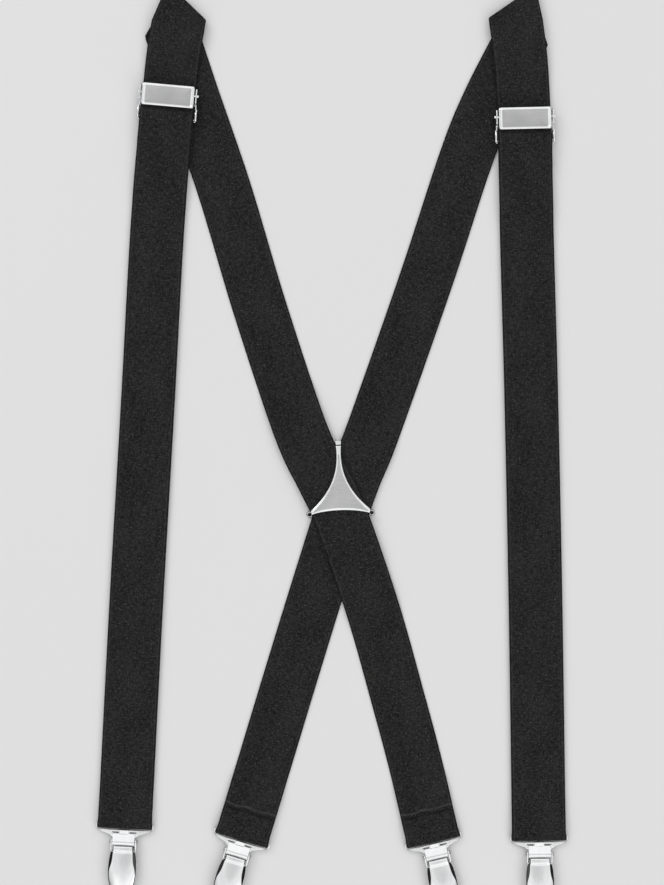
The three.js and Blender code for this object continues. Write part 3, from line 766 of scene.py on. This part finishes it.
def back_strap(side):
    """From the shoulder across the back and round the back clip's bar to the sewn end."""
    layout = HALVES[side]
    line = PlanLine(layout["back"])
    cross, bar = line.nearest(*CROSS_MIDDLE), line.length
    second_layer = FLOOR_LAYER + LAYER
    under = [(-68, FLOOR_LAYER), (-50, UNDER_Z), (12, UNDER_Z), (30, FLOOR_LAYER)]
    over = [(-98, FLOOR_LAYER), (-82, second_layer), (-64, OVER_Z), (26, OVER_Z), (44, second_layer),
            (58, second_layer), (78, FLOOR_LAYER)]
    crossing = [(cross + past, z) for past, z in (over if layout["over"] else under)]
    height = eased([*crossing, (bar - 46, FLOOR_LAYER), (bar - 29, second_layer), (bar - 20, second_layer),
                    (bar - 5, BAR_Z + LOOP_RADIUS)])
    flare = eased([(bar - 5, 0.0), (bar, BAR_FLARE)])
    seam = bar + LOOP_RADIUS + WEB_THICK / 2 - BACK_SEAM
    start = FOLD_END + GAP
    rows = [
        *run_rows(line, steps(start, cross - 100, 5) + steps(cross - 98, cross + 80, 3)
                  + steps(cross + 84, bar - 48, 4) + steps(bar - 46, seam - 5, 1.5)
                  + steps(seam - 4.6, seam + 4.6, 0.4) + steps(seam + 5, bar, 1.2), height, flare),
        *wrap_rows(line, bar, BAR_Z, LOOP_RADIUS, 1, 1, BAR_FLARE),
        *run_rows(line, steps(bar, bar - 25, 2.5), lambda distance: FLOOR_LAYER),
    ]
    # the back strap's webbing carries a painted highlight and painted shade beside its seam
    piece = strap_mesh(f"{side}_back_webbing", rows, seam_relief(seam - start),
                       webbing_material(f"{side}_seam_shaded_webbing", seam - start))
    keep(piece, "root", "webbing", f"{side}_back_strap")
    stitches = stitch_row(f"{side}_back_stitching", "root", line, seam, height(seam) + WEB_THICK / 2 - 0.3)


# ---- clip


def placed_on(line, distance):
    """Puts a piece on the line at that distance, its Y up the strap."""
    point, heading = line.at(distance)
    turn = math.atan2(-heading.y, -heading.x) - HALF_PI
    return Matrix.Translation((*point, 0)) @ Matrix.Rotation(turn, 4, "Z")


def clip_base():
    """Stamped base: bar and yoke for the strap, rolled hinge barrel with its seam, and the rear jaw."""
    solid = Solid()
    low, high = BAR_Z - 0.7, BAR_Z + 0.7
    outer = SLOT_HALF + 1.15
    right = [(10, -3.1), (SLOT_HALF, -2.6), (SLOT_HALF, 0.7), (outer, 0.7), (outer, -1.9), (18.1, -2.9),
             (14.6, -4.4), (11.6, -5.5), (9.8, -6.1), (8.7, -6.9), (BARREL_HALF + 0.5, -8.0)]
    window = [(3.7, -4.35), (7.9, -4.35), (8.2, -4.6), (7.9, -4.85), (3.7, -4.85), (3.4, -4.6)]
    windows = [[(side * x, y) for x, y in window] for side in (-1, 1)]
    solid.prism(right + mirrored(right), low, high, 0.28, windows)
    solid.lathe(rod_profile(SLOT_HALF + 0.5, BAR_RADIUS), across_at(0, BAR_Z), 16)
    lean = math.radians(57)  # where the neck's straight ramp meets the barrel
    meet_y, meet_z = PIN_Y + BARREL_RADIUS * math.cos(lean), PIN_Z + BARREL_RADIUS * math.sin(lean)

    def on_ramp(y, drop=0.0):
        return y, meet_z - (y - meet_y) * math.tan(HALF_PI - lean) - drop

    seam = math.radians(143)
    over = [*arc(PIN_Y, PIN_Z, BARREL_RADIUS, lean, seam - 0.05, 12),
            *arc(PIN_Y, PIN_Z, BARREL_RADIUS - 0.3, seam - 0.03, seam + 0.05, 1),
            *arc(PIN_Y, PIN_Z, BARREL_RADIUS - 0.02, seam + 0.08, math.radians(215), 8)]
    start = -5.0
    barrel = [(start, low), on_ramp(start), *over, (-13.2, high - 0.3), (-15.2, JAW_THICK + 0.1),
              (-16.6, JAW_THICK), (-16.6, 0), (-14.6, 0), (-12.2, low)]
    bore = arc(PIN_Y, PIN_Z, PIN_RADIUS + GAP, 0, -math.tau, 18)[1:]
    solid.prism(barrel, -BARREL_HALF, BARREL_HALF, 0.3, [bore], SIDEWAYS)
    tongue = [(-2.7, high - 0.6), on_ramp(-2.7, 0.25), on_ramp(-3.2), on_ramp(start - 0.6),
              (start - 0.6, high - 0.6)]
    solid.prism(tongue, -3.1, 3.1, 0.2, turn=SIDEWAYS)
    half = [(5.6, -16), (6.3, -19), (7.2, -22), (7.9, -26), (8.05, -30), (7.7, -35), (6.9, -40), (5.5, -44.6),
            (3.7, -47.8), (1.6, -49.3)]
    solid.prism([(0, -49.5), *mirrored(half), *half][::-1], 0, JAW_THICK, 0.35)
    rib = [(1.5, -18), (1.9, -22), (1.5, -26)]
    solid.prism(rib + mirrored(rib), JAW_THICK - 0.2, JAW_THICK + 0.25, 0.2)
    return solid


# (y, half-width of the face, half-width at the hem, height of the crown, height of the hem, crown's fall)
LEVER_STATIONS = [
    (-12.8, 5.7, 6.2, 7.35, 6.85, 0.25), (-13.05, 5.9, 6.35, 7.85, 6.5, 0.35),
    (-13.5, 6.0, 6.5, 8.1, 5.3, 0.45), (-14.5, 6.05, 6.7, 8.2, 4.6, 0.5),
    (-15.7, 6.1, 6.9, 8.2, 4.6, 0.5), (-16.3, 6.2, 7.6, 7.95, 4.55, 0.5),
    (-16.8, 6.3, 8.05, 7.6, 4.5, 0.5), (-18.0, 6.4, 8.4, 7.62, 4.5, 0.45),
    (-20.0, 6.5, 8.85, 7.85, 4.45, 0.5), (-22.5, 6.75, 9.15, 8.15, 4.4, 0.6),
    (-25.0, 7.3, 9.3, 8.4, 4.4, 0.8), (-27.5, 8.15, 9.35, 8.55, 4.4, 1.05),
    (-30.0, 8.55, 9.3, 8.6, 4.35, 1.3), (-33.5, 8.35, 9.0, 8.5, 4.3, 1.5),
    (-37.0, 7.8, 8.45, 8.25, 4.2, 1.6), (-40.5, 7.0, 7.65, 7.85, 4.05, 1.6),
    (-44.0, 6.0, 6.65, 7.35, 3.9, 1.5), (-47.0, 4.9, 5.55, 6.8, 3.8, 1.35),
    (-49.5, 3.7, 4.35, 6.25, 3.7, 1.15), (-51.4, 2.4, 3.0, 5.75, 3.6, 0.9),
    (-52.6, 1.2, 1.7, 5.35, 3.6, 0.6), (-53.0, 0.5, 0.8, 4.95, 3.6, 0.4),
]
SIDE_FALL = 0.78  # how far the side drops for each millimetre that it slopes outwards


def lever_ring(y, face, hem_half, top, hem, fall):
    """The spoon's wall at a station: crowned face, soft ridge, sloping side, rounded hem and the inside."""
    side = hem_half - face
    wall = min(0.9, hem_half * 0.4)
    ridge = top - fall
    foot = max(hem + 0.3, ridge - SIDE_FALL * side)
    outer = [(0.0, top), (0.35 * face, top - 0.1 * fall), (0.7 * face, top - 0.42 * fall),
             (0.93 * face, top - 0.82 * fall), (face, ridge),
             (face + 0.12 * side, ridge - 0.14 * SIDE_FALL * side),
             (hem_half - 0.12 * side, foot + 0.12 * SIDE_FALL * side), (hem_half, foot - 0.1),
             (hem_half, hem + 0.12), (hem_half - 0.15 * wall, hem)]
    inner = [(hem_half - wall, hem), (max(0.3 * face, face - 0.5 * wall), max(hem + 0.02, top - 1.9)),
             (0.5 * face, max(hem + 0.03, top - 1.2)), (0.0, max(hem + 0.04, top - 0.95))]
    half = outer + inner
    return [(x, y, z) for x, z in half + mirrored(half[1:-1])]


def clip_lever():
    solid = Solid(sharp=80, subdivide=2)
    solid.shell([lever_ring(*station) for station in LEVER_STATIONS])
    return solid


def clip_ears():
    """The lever's two ears on the pin, which run forward into its sides."""
    solid = Solid()
    ear = [*arc(PIN_Y, PIN_Z, 2.1, HALF_PI, -math.pi * 0.75, 14), (-13.2, 4.4), (-16.4, 4.7), (-16.6, 5.2),
           (-15.0, 5.6), (-13.0, 6.2)]
    bore = arc(PIN_Y, PIN_Z, PIN_RADIUS + 0.12, 0, -math.tau, 18)[1:]
    for side in (-1, 1):
        low, high = sorted((side * EAR_INNER, side * (EAR_INNER + EAR_THICK)))
        solid.prism(ear, low, high, 0.18, [bore], SIDEWAYS)
    return solid


def clip_spring():
    """A bent leaf between the jaws, its free end curled up."""
    solid = Solid()
    under = [(-24.8, 1.62), (-24.2, 1.5), (-17.6, 1.5), (-16.6, 1.7), (-15.2, 2.75), (-13.9, 3.75),
             (-13.5, 3.95)]
    upper = [(y - 0.06, z + 0.36) for y, z in reversed(under)]
    solid.prism(under + upper, -3, 3, 0.1, turn=SIDEWAYS)
    return solid


def clip_pad(back, ridge):
    """A grip pad with rounded cross ridges on its inner face."""
    solid = Solid()
    depth = 0.35 * (1 if ridge > back else -1)
    teeth = [(y, ridge - depth * (0.5 - 0.5 * math.cos((y - PAD_FAR) * math.tau / 3.0)))
             for y in steps(PAD_FAR + 0.2, PAD_NEAR - 0.2, 0.375)]
    solid.prism([(PAD_FAR, back), *teeth, (PAD_NEAR, back)], -PAD_HALF, PAD_HALF, 0.12, turn=SIDEWAYS)
    return solid


def clip_pin():
    solid = Solid()
    solid.lathe(headed_profile(EAR_INNER + EAR_THICK + 0.1, PIN_RADIUS, 1.5, 0.9), across_at(PIN_Y, PIN_Z))
    return solid


def clip(prefix, line):
    place = placed_on(line, line.length)
    base, lever = f"{prefix}_clip", f"{prefix}_lever"
    for name, solid, material, body, slot, *nodes in (
        ("stamping", clip_base(), CHROME, base, "chrome", "base"),
        ("spoon", clip_lever(), CHROME, lever, "chrome", "lever"),
        ("ears", clip_ears(), CHROME, lever, "chrome"),
        ("hinge_pin", clip_pin(), STEEL, base, "steel", "pin"),
        ("leaf", clip_spring(), STEEL, base, "steel", "spring"),
        ("rear_grip", clip_pad(JAW_THICK + 0.05, 3.0), GRIP, base, "grip", "rear_pad"),
        ("front_grip", clip_pad(5.4, 3.3), GRIP, lever, "grip", "front_pad"),
    ):
        piece = solid.finish(f"{prefix}_clip_{name}", place, [material])
        keep(piece, body, slot, *[f"{prefix}_clip_{node}" for node in nodes])


# ---- adjuster


def rounded_rect(width, height, radius, y=0.0):
    w, h = width / 2 - radius, height / 2 - radius
    corners = ((w, h), (-w, h), (-w, -h), (w, -h))
    return [point for i, (cx, cy) in enumerate(corners)
            for point in arc(cx, cy + y, radius, i * HALF_PI, (i + 1) * HALF_PI, 5)]


def adjuster_cover():
    """The hinged cover: a bright rolled rim, wider at its ends, round a slightly crowned plain face."""
    solid = Solid(sharp=55)
    w, h = COVER_WIDTH, COVER_HEIGHT
    profile = [(0.9, 0.9, 1.0, 7.85), (0.25, 0.25, 1.4, 7.85), (0.0, 0.0, 1.6, 8.1), (0.0, 0.0, 1.6, 8.75),
               (0.12, 0.12, 1.6, 9.1), (0.42, 0.4, 1.5, 9.32), (0.8, 0.75, 1.3, 9.36),
               (1.15, 1.05, 1.1, 9.24), (1.5, 1.25, 0.9, 9.04), (2.3, 1.45, 0.7, 8.90),
               (2.4, 1.55, 0.6, 8.90), (3.4, 2.6, 0.5, 8.95), (4.6, 3.8, 0.4, 8.99), (6.0, 5.2, 0.3, 9.015),
               (7.4, 6.6, 0.2, 9.02)]
    rings = [[(x, y, z) for x, y in rounded_rect(w - 2 * ix, h - 2 * iy, radius)]
             for ix, iy, radius, z in profile]
    for face in solid.shell(rings):
        inside_rim = all(abs(v.co.x) < w / 2 - 2.2 and abs(v.co.y) < h / 2 - 1.4 for v in face.verts)
        if inside_rim and face.calc_center_median().z > 8.88:
            face.material_index = 1
    for side in (-1, 1):
        knuckle = [(side * 9.5, 0), (side * 9.5, 1.05), (side * 16.9, 1.05), (side * 16.9, 0)]
        solid.lathe(knuckle, across_at(COVER_Y, COVER_Z - 0.15), 24)
    solid.prism(strip(-6.6, -5.9, 14.5, 14.2), 7.25, 8.0, 0.2)
    return solid


def adjuster_frame():
    """Anvil bar, lower bar, and at each side a rail with its upright ear and rounded foot."""
    solid = Solid()
    inner = SLOT_HALF + 0.05
    solid.prism(strip(-5, -0.5, inner + 0.5), 3.6, 4.6, 0.3)
    solid.lathe(rod_profile(inner + 0.5, LOWER_BAR_RADIUS), across_at(LOWER_BAR_Y, LOWER_BAR_Z), 20)
    rail = [(inner + x, y) for x, y in (
        (0, 6.2), (0.9, 6.2), (0.9, -6.5), (1.3, -7.8), (1.7, -9.6), (1.85, -11.6), (1.6, -13.8),
        (0.95, -15.4), (0.4, -15.8), (0, -15.6))]
    ear = [(-4.2, 3.7), (-4.2, 7.6), (-3.6, 8.7), (-2.6, 9.25), (4.6, 9.25), (5.6, 8.7), (6.2, 7.6),
           (6.2, 3.7)]
    bore = arc(COVER_Y, COVER_Z, 0.8, 0, -math.tau, 16)[1:]
    foot = [(-15.4, 3.6), (-15.0, 5.4), (-12.6, 6.3), (-9.6, 6.2), (-7.2, 5.2), (-6.4, 3.6)]
    for side in (-1, 1):
        outline = rail if side > 0 else mirrored(rail)
        low, high = sorted((side * inner, side * (inner + 0.9)))
        solid.prism(outline, 3.4, 4.8, 0.35)
        solid.prism(ear, low, high, 0.22, [bore], SIDEWAYS)
        low, high = sorted((side * (inner + 0.15), side * (inner + 1.75)))
        solid.prism(foot, low, high, 0.6, turn=SIDEWAYS, segments=4)
    return solid


def adjuster(side, line):
    place = placed_on(line, 0)
    body = f"{side}_adjuster"
    hardware = adjuster_frame().finish(f"{side}_adjuster_hardware", place, [CHROME])
    keep(hardware, body, "chrome", f"{side}_adjuster_frame")
    cover = adjuster_cover().finish(f"{side}_adjuster_plate", place, [RIM, COVER])
    keep(cover, f"{side}_cover", "satin", f"{side}_adjuster_cover")
    pin = Solid()
    pin.lathe(headed_profile(SLOT_HALF + 1.05, 0.65, 1.0, 1.35), across_at(COVER_Y, COVER_Z), 24)
    keep(pin.finish(f"{side}_adjuster_hinge_pin", place, [RIM]), body, "steel", f"{side}_adjuster_pin")


# ---- cross plate


def bezier(a, b, c, d, count=18):
    points = []
    for i in range(count):
        t = i / count
        s = 1 - t
        points.append(tuple(s ** 3 * p + 3 * s * s * t * q + 3 * s * t * t * r + t ** 3 * e
                            for p, q, r, e in zip(a, b, c, d)))
    return points


def cross_outline(inset):
    """The three-pointed plate about its own middle, every side hollow, drawn in evenly by the inset."""
    top = STEM_TOP - 2.6
    edge = [Vector(point) for point in bezier((1.9, top), (1.2, 13), (0.8, -2), (19.4, -18.6), 24)]
    edge.append(Vector((19.4, -18.6)))
    side = []
    for i, point in enumerate(edge):
        run = (edge[min(i + 1, len(edge) - 1)] - edge[max(i - 1, 0)]).normalized()
        moved = point + Vector((run.y, -run.x)) * inset
        side.append((max(moved.x, 0.12), min(moved.y, top - inset)))
    foot_end = (19.0 - inset, -21.4 + inset)
    tip = [(19.5 - 0.85 * inset, -20.0 + 0.1 * inset)]
    foot = bezier(foot_end, (9, -18.2 + inset), (-9, -18.2 + inset), (-foot_end[0], foot_end[1]))
    return side + tip + foot + mirrored(side + tip + [foot_end])


def in_plate_frame(x, y):
    local = Matrix.Rotation(-PLATE_TURN, 2) @ Vector((x - PLATE_MIDDLE[0], y - PLATE_MIDDLE[1]))
    return local.x, local.y


def tip_ring(x, y, inner, outer, low, high):
    """A turned eyelet round a rivet: a closed ring with rounded edges."""
    ring = [(inner, low), (outer - 0.15, low), (outer, low + 0.2), (outer, high - 0.25), (outer - 0.25, high),
            (inner + 0.2, high), (inner, high - 0.2)]
    return [[(x + radius * math.cos(a), y + radius * math.sin(a), z) for radius, z in ring]
            for a in full_turn(28)]


def cross_front():
    """Front plate: a rolled bright rim round a satin field, with eyelets, and a stem bent down at a crease,
    where a near-black strip is painted shade."""
    solid = Solid(sharp=55)
    low = FRONT_PLATE_Z
    profile = [(0.25, 0), (0.05, 0.15), (0, 0.5), (0.1, 0.9), (0.38, 1.16), (0.78, 1.27), (1.12, 1.27),
               (1.36, 1.15), (1.52, 0.95)]
    rings = [[(x, y, low + z) for x, y in cross_outline(inset)] for inset, z in profile]
    base, field = solid.shell(rings)[-2:]
    field.material_index = 1
    bmesh.ops.triangulate(solid.bm, faces=[field, base])
    for rivet in RIVETS.values():
        solid.shell(tip_ring(*in_plate_frame(*rivet), 1.0, 1.65, low, low + 0.8), closed=True)
    solid.prism(strip(STEM_TOP - 1.0, STEM_TOP, 0.9), GAP, low + 1.0, 0.25)
    solid.prism(strip(STEM_TOP - 2.0, STEM_TOP + 0.2, 1.75, 1.9), low + 0.1, low + 1.1, 0.3)
    solid.prism(strip(17.4, STEM_TOP - 3.0, 0.95), low + 0.6, low + 1.25, 0.15)
    # painted shade: a near-black strip set in the crease below the stem's bend
    solid.prism(strip(STEM_TOP - 2.9, STEM_TOP - 1.7, 1.8), low + 0.15, low + 0.7, 0.1, slot=2)
    return solid


def cross_back():
    solid = Solid()
    solid.prism(cross_outline(0.6), 0, PLATE_THICK, 0.2)
    for rivet in RIVETS.values():
        solid.shell(tip_ring(*in_plate_frame(*rivet), 1.0, 2.1, 0, PLATE_THICK), closed=True)
    return solid


def cross_plates():
    place = Matrix.Translation((*PLATE_MIDDLE, 0)) @ Matrix.Rotation(PLATE_TURN, 4, "Z")
    front = cross_front().finish("cross_front_stamping", place, [RIM, SATIN, DARK_RIVET_AND_CREASE_SHADE])
    keep(front, "root", "satin", "cross_front_plate")
    back = cross_back().finish("cross_back_stamping", place, [STEEL])
    keep(back, "root", "steel", "cross_back_plate")
    upright = Matrix(((0, 0, -1, 0), (0, 1, 0, 0), (1, 0, 0, 0), (0, 0, 0, 1)))
    top = FRONT_PLATE_Z + 1.05
    head = [(0, 0.8), (0, 1.15), (0.12, 1.3), (0.3, 1.2), (0.36, 0.98), (0.28, 0.78), (-0.5, 0.66),
            (-0.9, 0.5), (-0.9, 0)]
    profile = [(0.05, 0), (0.05, 0.8), *[(top + z, radius) for z, radius in head]]
    for side, rivet in RIVETS.items():
        solid = Solid()
        solid.lathe(profile, Matrix.Translation((*in_plate_frame(*rivet), 0)) @ upright)
        keep(solid.finish(f"cross_{side}_rivet", place, [DARK_RIVET_AND_CREASE_SHADE]), "root", "chrome", f"cross_rivet_{side}")


# ---- the whole pair

cross_plates()
for side in HALVES:
    front_line = PlanLine(HALVES[side]["front"])
    adjuster(side, front_line)
    clip(f"{side}_front", front_line)
    clip(f"{side}_back", PlanLine(HALVES[side]["back"]))
for side in ("right", "left"):
    back_strap(side)
    front_strap(side)
    shoulder_strap(side)

# ---- studio

scene = bpy.context.scene
scene.view_settings.view_transform = "Standard"
scene.view_settings.look = "None"


def studio_floor():
    n = material_nodes("paper_floor")
    paper = n.blend(n.noise(n.object_place(), 3.0), grey(0.719), grey(0.728))
    material = n.principled(Base_Color=paper, Roughness=0.9, Specular_IOR_Level=0.1)
    mesh = bpy.data.meshes.new("floor")
    reach, below = 40.0, -0.0001
    mesh.from_pydata([(x, y, below) for x, y in strip(-reach, reach, reach)], [], [(0, 1, 2, 3)])
    mesh.materials.append(material)
    add_object("floor", mesh)


def studio_world():
    """A studio as one smooth gradient: soft overhead, brighter round it, then falling off toward the floor,
    to almost black at the object's left and right."""
    scene.world = bpy.data.worlds.new("studio")
    n = Nodes(scene.world)
    x, y, z = n.split(n.node("ShaderNodeTexCoord").outputs["Generated"])
    from_zenith = n.math("DIVIDE", n.math("ARCCOSINE", z), HALF_PI)
    around = n.ramp(from_zenith, [(0.0, 0.80), (0.06, 0.82), (0.18, 1.0), (0.34, 1.25), (0.6, 1.2),
                                  (0.85, 0.9), (1.0, 0.7)])
    sideways = n.ramp(from_zenith, [(0.0, 1.0), (0.14, 1.0), (0.33, 0.85), (0.5, 0.7), (0.68, 0.4),
                                    (0.78, 0.08), (0.84, 0.02), (1.0, 0.02)])
    lean = n.math("SUBTRACT", n.math("ABSOLUTE", x), n.times(n.math("ABSOLUTE", y), 0.95))
    walls = n.blend(n.span(lean, -0.05, 0.22), grey(1.0), sideways)
    n.feed(n.tree.nodes["Background"], n.scaled(around, walls))


def soft_light(name, location, size, power):
    light = bpy.data.lights.new(name, "AREA")
    light.shape, light.size, light.energy = "SQUARE", size, power
    lamp = add_object(name, light)
    lamp.location = location
    lamp.rotation_euler = (-Vector(location)).to_track_quat("-Z", "Y").to_euler()


def photo_camera():
    """Straight above the middle of the photographed area."""
    camera = add_object("camera", bpy.data.cameras.new("camera"))
    distance, seen_length, sensor = 1.3, 0.5788, 36
    camera.data.sensor_width = sensor
    camera.data.lens = sensor * distance / seen_length
    camera.data.clip_start, camera.data.clip_end = 0.05, 150
    camera.location = (SHIFT.x * MM, SHIFT.y * MM, distance)
    scene.camera = camera


studio_floor()
studio_world()
soft_light("key_light", (-1.5, 1.7, 1.7), 0.9, 9)
soft_light("fill_light", (1.5, -1.7, 1.6), 1.0, 5)
photo_camera()

bpy.context.view_layer.update()
